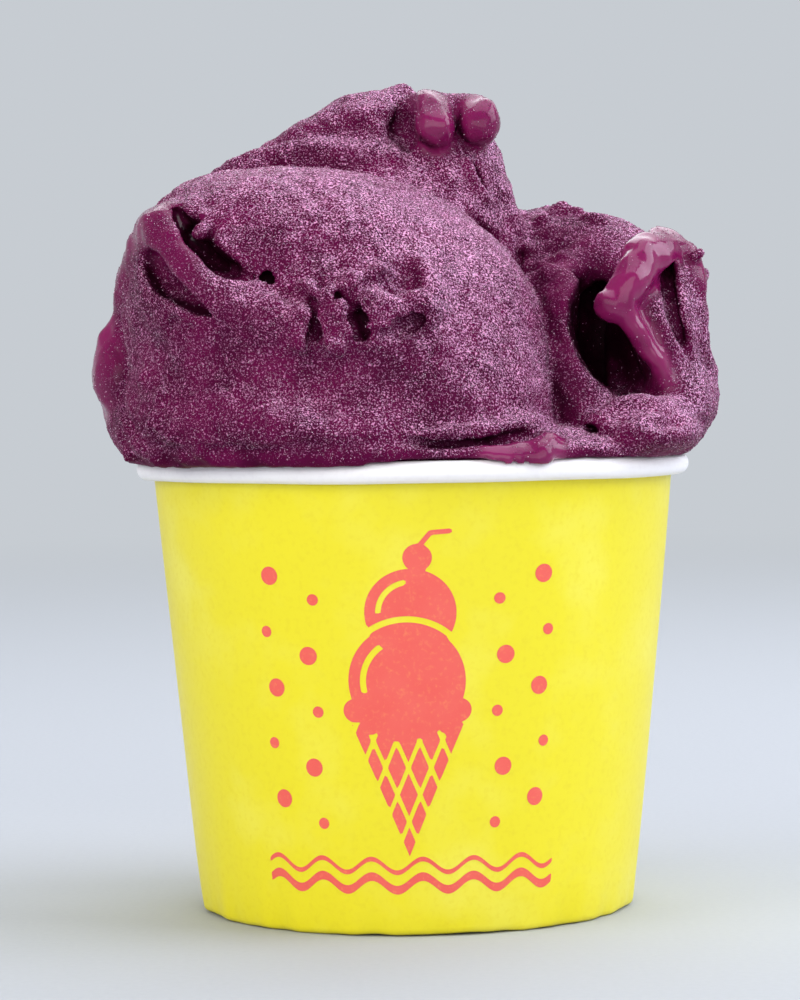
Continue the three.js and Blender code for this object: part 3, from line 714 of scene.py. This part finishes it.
def nearby(axes, low, high):
    return tuple(slice(max(int(np.searchsorted(axis, a)) - 1, 0), int(np.searchsorted(axis, b)) + 1)
                 for axis, a, b in zip(axes, low, high))


def addFold(field, points, axes, fold):
    # only the part of the grid that the fold reaches is worked out
    reach = 2.5 + fold["blend"]
    shapes = []
    if "dent" in fold:
        half = fold["half"]
        at = np.array(pressed(fold["on"], *fold["dent"], fold["deep"] - half[1]))
        window = nearby(axes, at - max(half) - reach, at + max(half) + reach)
        shapes.append((window, lobeDistance(points[window], at, half, fold["lean"])))
    elif "lumps" in fold:
        for *point, radius in fold["points"]:
            at = np.array(placeOf(fold, point))
            window = nearby(axes, at - radius - reach, at + radius + reach)
            half = radius * np.array([1.15, 1, 0.85])  # no crumb is round
            lean = 60 * sin(7 * at[0] + 3 * at[2])
            shapes.append((window, lobeDistance(points[window], at, half, lean)))
    else:
        rows, stretch = rope(fold), fold.get("stretch", 1)
        swell = rows[:, 3:4] * np.array((1, stretch, 1))
        low, high = (rows[:, :3] - swell).min(0), (rows[:, :3] + swell).max(0)
        window = nearby(axes, low - reach, high + reach)
        shapes.append((window, ropeDistance(points[window], rows, stretch=stretch)))
    for window, shape in shapes:
        if "cut" in fold:
            field[window] = smoothMax(field[window], -shape, fold["blend"])
        else:
            field[window] = smoothMin(field[window], shape, fold["blend"])


def heapField():
    # the heap's field on a grid, less than zero inside
    cell, rollRadius, outerLow = gelato["cell"], 1.95, 68.8
    lows, highs = gelato["low"], gelato["high"]
    axes = [np.arange(low, high, cell, dtype=np.float32) for low, high in zip(lows, highs)]
    grid = np.stack(np.meshgrid(*axes, indexing="ij"), -1)
    points = bent(grid).astype(np.float32)
    parts = {name: massDistance(points, name) for name in ("front", "peak", "right", "rear")}
    for fold in folds:
        onto = "right" if fold["on"] == "flap" else fold["on"]
        if "mass" in fold:
            parts[onto] = smoothMin(parts[onto], massDistance(points, fold["mass"]), fold["blend"])
        else:
            addFold(parts[onto], points, axes, fold)
    heap = parts["front"]
    for name, blend in (("peak", 0.8), ("right", 0.6), ("rear", 1.5)):
        heap = smoothMin(heap, parts[name], blend)
    # it lies on the rolled brim, and nothing hangs lower outside it
    r, z = np.hypot(grid[..., 0], grid[..., 1]), grid[..., 2]
    brim = np.hypot(r - curlCentre, z - curlMiddle) - rollRadius
    heap = smoothMax(heap, -brim, 0.3)
    heap = smoothMax(heap, np.where(r > curlCentre, outerLow - z, -9), 0.3)
    return np.maximum(heap, gelato["capHeight"] - z)


def surfaceOf(field):
    # one vertex in each cell that the surface crosses, one quad for each grid line that it crosses
    size = field.shape
    cells = tuple(n - 1 for n in size)
    total, crossed = np.zeros(cells + (3,)), np.zeros(cells)
    corners = [(i, j, k) for i in (0, 1) for j in (0, 1) for k in (0, 1)]

    def corner(at):
        return field[tuple(slice(at[n], at[n] + cells[n]) for n in range(3))]

    for a in corners:
        for axis in range(3):
            if a[axis]:
                continue
            b = tuple(1 if n == axis else a[n] for n in range(3))
            here, there = corner(a), corner(b)
            hit = (here < 0) != (there < 0)
            share = np.where(hit, here / np.where(hit, here - there, 1), 0)
            for n in range(3):
                total[..., n] += hit * a[n] + (share if n == axis else 0)
            crossed += hit
    used = crossed > 0
    index = np.full(cells, -1)
    index[used] = np.arange(used.sum())
    places = np.argwhere(used) + total[used] / crossed[used][:, None]
    vertices = places * gelato["cell"] + np.array(gelato["low"])
    quads = []
    for axis in range(3):
        u, v = (axis + 1) % 3, (axis + 2) % 3
        first = [slice(1, n - 1) for n in size]
        first[axis] = slice(0, size[axis] - 1)
        second = list(first)
        second[axis] = slice(1, size[axis])
        inA, inB = field[tuple(first)] < 0, field[tuple(second)] < 0
        edges = np.argwhere(inA != inB)
        outward = inA[tuple(edges.T)]
        ring = []
        for du, dv in ((0, 0), (1, 0), (1, 1), (0, 1)):
            cellAt = edges.copy()
            cellAt[:, u] += du
            cellAt[:, v] += dv
            ring.append(index[tuple(cellAt.T)])
        ring = np.stack(ring, 1)
        ring[~outward] = ring[~outward][:, ::-1]
        quads.append(ring)
    return vertices, np.concatenate(quads)


def softStep(value, low, high):
    t = np.clip((value - low) / (high - low), 0, 1)
    return t * t * (3 - 2 * t)


def normalsOf(mesh):
    values = np.zeros(len(mesh.vertices) * 3)
    mesh.vertices.foreach_get("normal", values)
    return values.reshape(-1, 3)


def noiseAt(points, size, shift=(0, 0, 0)):
    return np.array([noise.noise(Vector(p) / size + Vector(shift)) for p in points])


def spot(x, z, at, size):
    # one at its middle, fading out over its size
    return np.exp(-((x - at[0]) / size[0]) ** 2 - ((z - at[1]) / size[1]) ** 2)


def openness(mesh):
    # share of the outward directions in which nothing is near, for each vertex
    tree = BVHTree.FromPolygons([v.co for v in mesh.vertices], [p.vertices for p in mesh.polygons])
    reach, lift = gelato["hollowReach"] * mm, 0.25
    rayCount, goldenAngle = 14, 2.39996
    rays = []
    for n in range(rayCount):
        up = sqrt(1 - (n + 0.5) / rayCount * 0.85)  # none lies flat along the skin
        out, turn = sqrt(1 - up * up), n * goldenAngle
        rays.append(Vector((out * cos(turn), out * sin(turn), up)))
    shares = np.zeros(len(mesh.vertices))
    for n, vertex in enumerate(mesh.vertices):
        turn = vertex.normal.to_track_quat("Z", "X").to_matrix()
        start = vertex.co + vertex.normal * lift * mm
        shares[n] = sum(tree.ray_cast(start, turn @ ray, reach)[0] is None for ray in rays) / len(rays)
    return shares


def makeHeap(material):
    vertices, quads = surfaceOf(heapField())
    print("heap cut from its field:", len(quads), "quads")
    piece = newPiece("gelatoHeap", vertices, quads, material)
    mesh = piece.data
    x, y, z = vertices.T

    # where it has melted to a gloss
    wet = np.zeros(len(vertices))
    inBent = bent(vertices)
    for fold in folds:
        if "wet" in fold:
            wet = np.maximum(wet, 1 - softStep(ropeDistance(inBent, rope(fold), 4), -0.6, 1.8))
    patches = noiseAt(vertices, 4.5)
    fine = np.array([noise.fractal(Vector(p) / 2.1, 0.9, 2.1, 3) for p in vertices])
    slow = noiseAt(vertices, 9, (7, 3, 1))
    pits = noiseAt(vertices, 1.5, (1, 9, 4))
    runs = noiseAt(vertices * (1, 1, 0.6), 2.4, (5, 2, 8))
    wet = np.clip(wet * (1 + 0.8 * patches), 0, 1)

    # relief of the skin: stronger where it was torn, less where it has melted, none at the underside
    inCup = softStep(z, 66.6, 68.5)
    torn = spot(x, z, (-7, 91.5), (11, 5)) * (y < -20)
    torn += spot(x, z, (-36, 73), (5, 4)) * (y < 0) * 0.7
    torn += spot(x, z, (20, 101), (6, 9)) * 0.5
    torn += softStep(y, 6, 16) * softStep(slow, 0.0, 0.35) * 0.6
    amount = gelato["relief"] + (gelato["tornRelief"] - gelato["relief"]) * np.clip(torn, 0, 1)
    amount = amount * (1 - 0.6 * wet) * inCup
    move = amount * (0.9 * fine + 0.5 * patches) - 0.35 * amount * softStep(pits, 0.35, 0.6)
    move += 0.5 * wet * runs * inCup
    move -= 0.45 * softStep(-patches, 0.25, 0.5) * torn * (1 - wet) * inCup
    nearBrim = softStep(np.abs(np.hypot(x, y) - curlCentre), 1.5, 3.5) + softStep(z, 70, 71.5)
    vertices = vertices + normalsOf(mesh) * (move * np.clip(nearBrim, 0, 1))[:, None]
    mesh.vertices.foreach_set("co", (vertices * mm).ravel())

    # frost lies thickest on crests and skyward faces, and right-facing ones get more as painted light;
    # hollows stay clean of it and get painted shade
    mesh.update()
    normals = normalsOf(mesh)
    # how closed in each vertex is: closed-in places are painted dark as shade, and frost is kept off them
    hollowShade = 1 - softStep(openness(mesh), 0.1, 0.72)
    # upward faces carry more frost; faces turned to +X, towards the light on the right, get more as painted
    # light
    upwardAndLitRight = softStep(0.8 * normals[:, 2] + 0.6 * normals[:, 0], -0.1, 0.95)
    frostAndLight = np.clip(0.5 + 0.42 * upwardAndLitRight + 0.08 * fine + 0.04 * slow, 0, 1) * (1 - wet) * (1 - hollowShade)
    frostAndLight *= softStep(z + 1.2 * patches, 68.6, 71.4)
    frostAndLight *= 1 - 0.55 * spot(x, z, (25, 95), (8, 12)) * (y < 8)  # less frost on the front of the right scoop, so it is darker there
    frostAndLight *= 1 - 0.1 * np.exp(-((z - 76) / 4) ** 2) * softStep(-y, 8, 20) * (x < 22)
    for name, values in (("frostAndLight", frostAndLight), ("wet", wet), ("hollowShade", hollowShade)):
        layer = mesh.attributes.new(name, "FLOAT", "POINT")
        layer.data.foreach_set("value", values.astype(np.float32))

    # the underside, hidden in the cup, becomes one flat face
    work = bmesh.new()
    work.from_mesh(mesh)
    capTop = (gelato["capHeight"] + 0.05) * mm
    under = [face for face in work.faces if all(v.co.z < capTop for v in face.verts)]
    bmesh.ops.delete(work, geom=under, context="FACES")
    bmesh.ops.holes_fill(work, edges=[e for e in work.edges if e.is_boundary])
    work.to_mesh(mesh)
    work.free()
    mesh.update()
    return piece


def gelatoSkin():
    # churned berry gelato: translucent fruit purple, a rime of fine ice over it, glossy where it melts
    rime = 1 / 0.00025  # the rime breaks up into specks of about 0.25 mm
    clump = 1 / 0.0024  # and lies in patches of about 2 mm
    fruit = 1 / 0.007  # fruit pulp not quite mixed in, about 7 mm
    material, tree, shader = newMaterial("churned berry gelato")
    place = addPlace(tree)
    frostAndLight, wet, hollowShade = (addAttribute(tree, name) for name in ("frostAndLight", "wet", "hollowShade"))
    pulp = addRange(tree, addNoise(tree, place, fruit, 3.0), 0.36, 0.68)
    patchy = addRange(tree, addNoise(tree, place, clump, 3.0), 0.3, 0.7, -0.03, 0.03)
    laid = addMath(tree, "MULTIPLY_ADD", frostAndLight, 0.26, patchy)
    specks = addMath(tree, "ADD", addNoise(tree, place, rime, 1.0, Distortion=0.4), laid)
    dry = addMath(tree, "SUBTRACT", 1.0, wet)
    speckDry = addMath(tree, "MULTIPLY", addRange(tree, specks, 0.675, 0.82), dry)
    base = addMix(tree, pulp, "#46052c", "#640b40")
    # the ice specks grow paler with the frost share, so right-facing faces are partly painted light
    rimed = addMix(tree, speckDry, base, addMix(tree, frostAndLight, "#b24e8a", "#f2b0da"))
    melted = addMix(tree, wet, rimed, "#7c1650")
    bump = addNode(tree, "ShaderNodeBump", {"Height": speckDry, "Strength": 1.0, "Distance": 0.3 * mm})
    # painted shade: hollows closed in by the heap's own skin are darkened towards #240413
    setInputs(tree, shader, {
        "Base Color": addMix(tree, hollowShade, melted, "#240413"),
        "Roughness": addRange(tree, wet, toLow=0.5, toHigh=0.25),
        "Normal": bump.outputs["Normal"],
        "Coat Weight": wet, "Coat Roughness": 0.11, "Coat IOR": 1.4,
        "Specular IOR Level": 0.08, "IOR": 1.33,
        "Subsurface Weight": 0.15, "Subsurface Radius": (1.0, 0.25, 0.45), "Subsurface Scale": 1.0 * mm})
    return material


skin = gelatoSkin()
heap = makeHeap(skin)
print("gelato made:", len(heap.data.polygons), "faces")

# ice crystals, sharp little grains that glint: how many on a square millimetre of full frost, their sizes
# in millimetres, and the material's name with its dull and its bright colour
crystals = {
    "frostGrains": {"density": 2.7, "size": (0.22, 0.20, 0.18), "seed": 3,
        "ice": ("rime ice grains", "#7a2856", "#f0cce2")},
    "frostCrumbs": {"density": 2.7, "size": (0.28, 0.18, 0.20), "seed": 7,
        "ice": ("rime ice crumbs", "#5c183f", "#d092b6")},
    "frostNeedles": {"density": 2.7, "size": (0.36, 0.14, 0.13), "seed": 11,
        "ice": ("rime ice needles", "#823060", "#f6d8ea")},
    "frostFlakes": {"density": 2.7, "size": (0.26, 0.22, 0.11), "seed": 29,
        "ice": ("rime ice flakes", "#6a2148", "#dca8c8")},
}


def crystalIce(name, colour, bright):
    # rime ice on fruit: clear little grains that pick the colour up from below and glint on their facets
    material, tree, shader = newMaterial(name)
    mark = addAttribute(tree, "tint")
    setInputs(tree, shader, {
        "Base Color": addMix(tree, addRange(tree, mark, low=0.45), colour, bright),
        "Roughness": addRange(tree, mark, toLow=0.34, toHigh=0.16),
        "IOR": 1.31, "Specular IOR Level": 0.8})
    return material


def crystalTree():
    # grains scattered on the frost above the brim, each leaning and sized by the piece's seed
    brimHigh = 69.5 * mm
    tree = bpy.data.node_groups.new("iceCrystals", "GeometryNodeTree")
    for name, kind in (("Geometry", "Geometry"), ("Density", "Float"), ("Size", "Vector"), ("Seed", "Int"),
                       ("Material", "Material")):
        tree.interface.new_socket(name, in_out="INPUT", socket_type="NodeSocket" + kind)
    tree.interface.new_socket("Geometry", in_out="OUTPUT", socket_type="NodeSocketGeometry")

    def add(kind, inputs=None, **settings):
        return addNode(tree, kind, inputs, **settings).outputs

    given = add("NodeGroupInput")
    surface, seed = given["Geometry"], given["Seed"]
    # the frost share also carries painted light: faces turned to the right get more grains
    frostAndLight = add("GeometryNodeInputNamedAttribute", {"Name": "frostAndLight"}, data_type="FLOAT")["Attribute"]
    height = add("ShaderNodeSeparateXYZ", {"Vector": add("GeometryNodeInputPosition")[0]})["Z"]
    share = addMath(tree, "MULTIPLY", frostAndLight, addMath(tree, "GREATER_THAN", height, brimHigh))
    density = addMath(tree, "MULTIPLY", share, given["Density"])
    spots = add("GeometryNodeDistributePointsOnFaces", {"Mesh": surface, "Density": density, "Seed": seed})
    grain = add("GeometryNodeMeshUVSphere", {"Segments": 3, "Rings": 2, "Radius": 0.5})["Mesh"]
    lean = add("FunctionNodeRandomValue", {
        "Min": (-0.9, -0.9, 0), "Max": (0.9, 0.9, 6.283), "Seed": seed}, data_type="FLOAT_VECTOR")["Value"]
    turned = add("FunctionNodeRotateRotation", {
        "Rotation": spots["Rotation"], "Rotate By": lean}, rotation_space="LOCAL")["Rotation"]
    grow = add("FunctionNodeRandomValue", {2: 0.55, 3: 1.35, "Seed": seed}, data_type="FLOAT")[1]
    size = add("ShaderNodeVectorMath", {0: given["Size"], "Scale": grow}, operation="SCALE")["Vector"]
    placed = add("GeometryNodeInstanceOnPoints", {
        "Points": spots["Points"], "Instance": grain, "Rotation": turned, "Scale": size})["Instances"]
    tintSeed = addMath(tree, "ADD", seed, 5.0)
    tint = add("FunctionNodeRandomValue", {2: 0.0, 3: 1.0, "Seed": tintSeed}, data_type="FLOAT")[1]
    marked = add("GeometryNodeStoreNamedAttribute", {"Geometry": placed, "Name": "tint", "Value": tint},
                 data_type="FLOAT", domain="INSTANCE")["Geometry"]
    real = add("GeometryNodeRealizeInstances", {"Geometry": marked})["Geometry"]
    painted = add("GeometryNodeSetMaterial", {"Geometry": real, "Material": given["Material"]})["Geometry"]
    add("NodeGroupOutput", {"Geometry": painted})
    return tree


def grownOn(surface, name, tree, values):
    # the tree runs on a copy of the surface, and what it grows becomes a plain mesh of its own
    host = surface.copy()
    scene.collection.objects.link(host)
    modifier = host.modifiers.new("grow", "NODES")
    modifier.node_group = tree
    sockets = {item.name: item.identifier for item in tree.interface.items_tree if item.in_out == "INPUT"}
    for socket, value in values.items():
        modifier[sockets[socket]] = value
    evaluated = host.evaluated_get(bpy.context.evaluated_depsgraph_get())
    mesh = bpy.data.meshes.new_from_object(evaluated)
    bpy.data.objects.remove(host)
    mesh.name = name
    return inScene(name, mesh)


iceTree = crystalTree()
frosts = []
for name, kind in crystals.items():
    piece = grownOn(heap, name, iceTree, {
        "Density": kind["density"] / mm ** 2, "Size": tuple(s * mm for s in kind["size"]),
        "Seed": kind["seed"], "Material": crystalIce(*kind["ice"])})
    print(name, len(piece.data.polygons), "faces")
    frosts.append(piece)

# what each piece rides on, and the frame's parts that the new pieces replace, hidden
for piece in (heap, cupWall, cupBase, frontPrint, backPrint, *frosts):
    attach(piece, "root")
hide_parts("gelato")
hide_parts("cup_wall")
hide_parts("cup_base")

# pale studio, soft light and camera, in metres
studio = {
    "floorRings": (0.4, 1.2, 3.0, 6.0),
    "floorColours": ("#adb0b5", "#b4b7bc"),
    "skyColour": "#e9eff6",
    "skyStrength": 0.7,
    "skyHigh": 0.3,  # strength overhead, where the soft boxes are
    "lightsAim": (0, 0, 0.09),
    "cameraAt": (-0.002, -0.53, 0.0815),
    "cameraDown": 2.05,  # degrees
    "cameraRoll": -0.7,
    "lens": 123.48,  # millimetres, on a 36 mm sensor
}


def makeFloor():
    # matt paper near the cup, running out into the same pale tone as the sky far from it
    sides = 96
    turns = [2 * pi * n / sides for n in range(sides)]
    vertices = [(0, 0, 0)]
    for radius in studio["floorRings"]:
        vertices += [(radius * cos(turn) / mm, radius * sin(turn) / mm, 0) for turn in turns]
    faces = [(0, 1 + n, 1 + (n + 1) % sides) for n in range(sides)]
    for inner in range(1, len(vertices) - sides, sides):
        outer = inner + sides
        for n in range(sides):
            after = (n + 1) % sides
            faces.append((inner + n, outer + n, outer + after, inner + after))
    pulp = 900.0  # the paper's pulp clumps at about 1.1 mm
    material, tree, shader = newMaterial("matt studio paper")
    place = addPlace(tree)
    away = addNode(tree, "ShaderNodeVectorMath", {0: place}, operation="LENGTH").outputs["Value"]
    fade = addRange(tree, away, 0.25, 1.3, interpolation_type="SMOOTHSTEP")
    grain = addNoise(tree, place, pulp, 2.0)
    setInputs(tree, shader, {"Base Color": addMix(tree, grain, *studio["floorColours"]), "Roughness": 0.9})
    glow = addNode(tree, "ShaderNodeEmission", {
        "Color": studio["skyColour"], "Strength": studio["skyStrength"]})
    blend = addNode(tree, "ShaderNodeMixShader", {0: fade, 1: shader.outputs[0], 2: glow.outputs[0]})
    setInputs(tree, tree.nodes["Material Output"], {"Surface": blend.outputs[0]})
    newPiece("studioFloor", vertices, faces, material)


def makeLight(name, at, width, height, power, colour):
    lamp = bpy.data.lights.new(name, "AREA")
    lamp.shape = "RECTANGLE"
    lamp.size, lamp.size_y = width, height
    lamp.energy = power
    lamp.color = linearRgba(colour)[:3]
    light = inScene(name, lamp)
    light.location = at
    towards = Vector(studio["lightsAim"]) - Vector(at)
    light.rotation_euler = towards.to_track_quat("-Z", "Y").to_euler()
    return light


makeFloor()
makeLight("skyBehind", (0.2, 0.9, 1.0), 1.6, 1.0, 11.0, "#f6faff")
makeLight("skyAbove", (0.1, 0.0, 1.2), 1.0, 1.0, 6.0, "#f4f7ff")
makeLight("openRight", (0.85, -0.1, 0.7), 0.8, 0.8, 9.5, "#eef3ff")
makeLight("fillFront", (0.1, -1.2, 0.5), 1.8, 0.9, 9.4, "#fffefb")
makeLight("openLeft", (-0.9, -0.5, 0.6), 0.8, 0.8, 6.5, "#fffefb").visible_glossy = False

# pale round the horizon, dimmer above
world = bpy.data.worlds.new("paleSky")
world.use_nodes = True
skyTree = world.node_tree
outward = addNode(skyTree, "ShaderNodeTexCoord").outputs["Generated"]
upward = addNode(skyTree, "ShaderNodeSeparateXYZ", {"Vector": outward}).outputs["Z"]
glowShare = addRange(skyTree, addMath(skyTree, "ABSOLUTE", upward), 0.1, 0.5, studio["skyStrength"],
                     studio["skyHigh"], interpolation_type="SMOOTHSTEP")
setInputs(skyTree, skyTree.nodes["Background"], {"Color": studio["skyColour"], "Strength": glowShare})
scene.world = world
scene.view_settings.view_transform = "Standard"

lens = bpy.data.cameras.new("camera")
lens.sensor_width = 36
lens.lens = studio["lens"]
camera = inScene("camera", lens)
camera.location = studio["cameraAt"]
look = Matrix.Rotation(radians(90 - studio["cameraDown"]), 4, "X")
camera.rotation_euler = (look @ Matrix.Rotation(radians(studio["cameraRoll"]), 4, "Z")).to_euler()
scene.camera = camera
print("studio set")

bpy.context.view_layer.update()
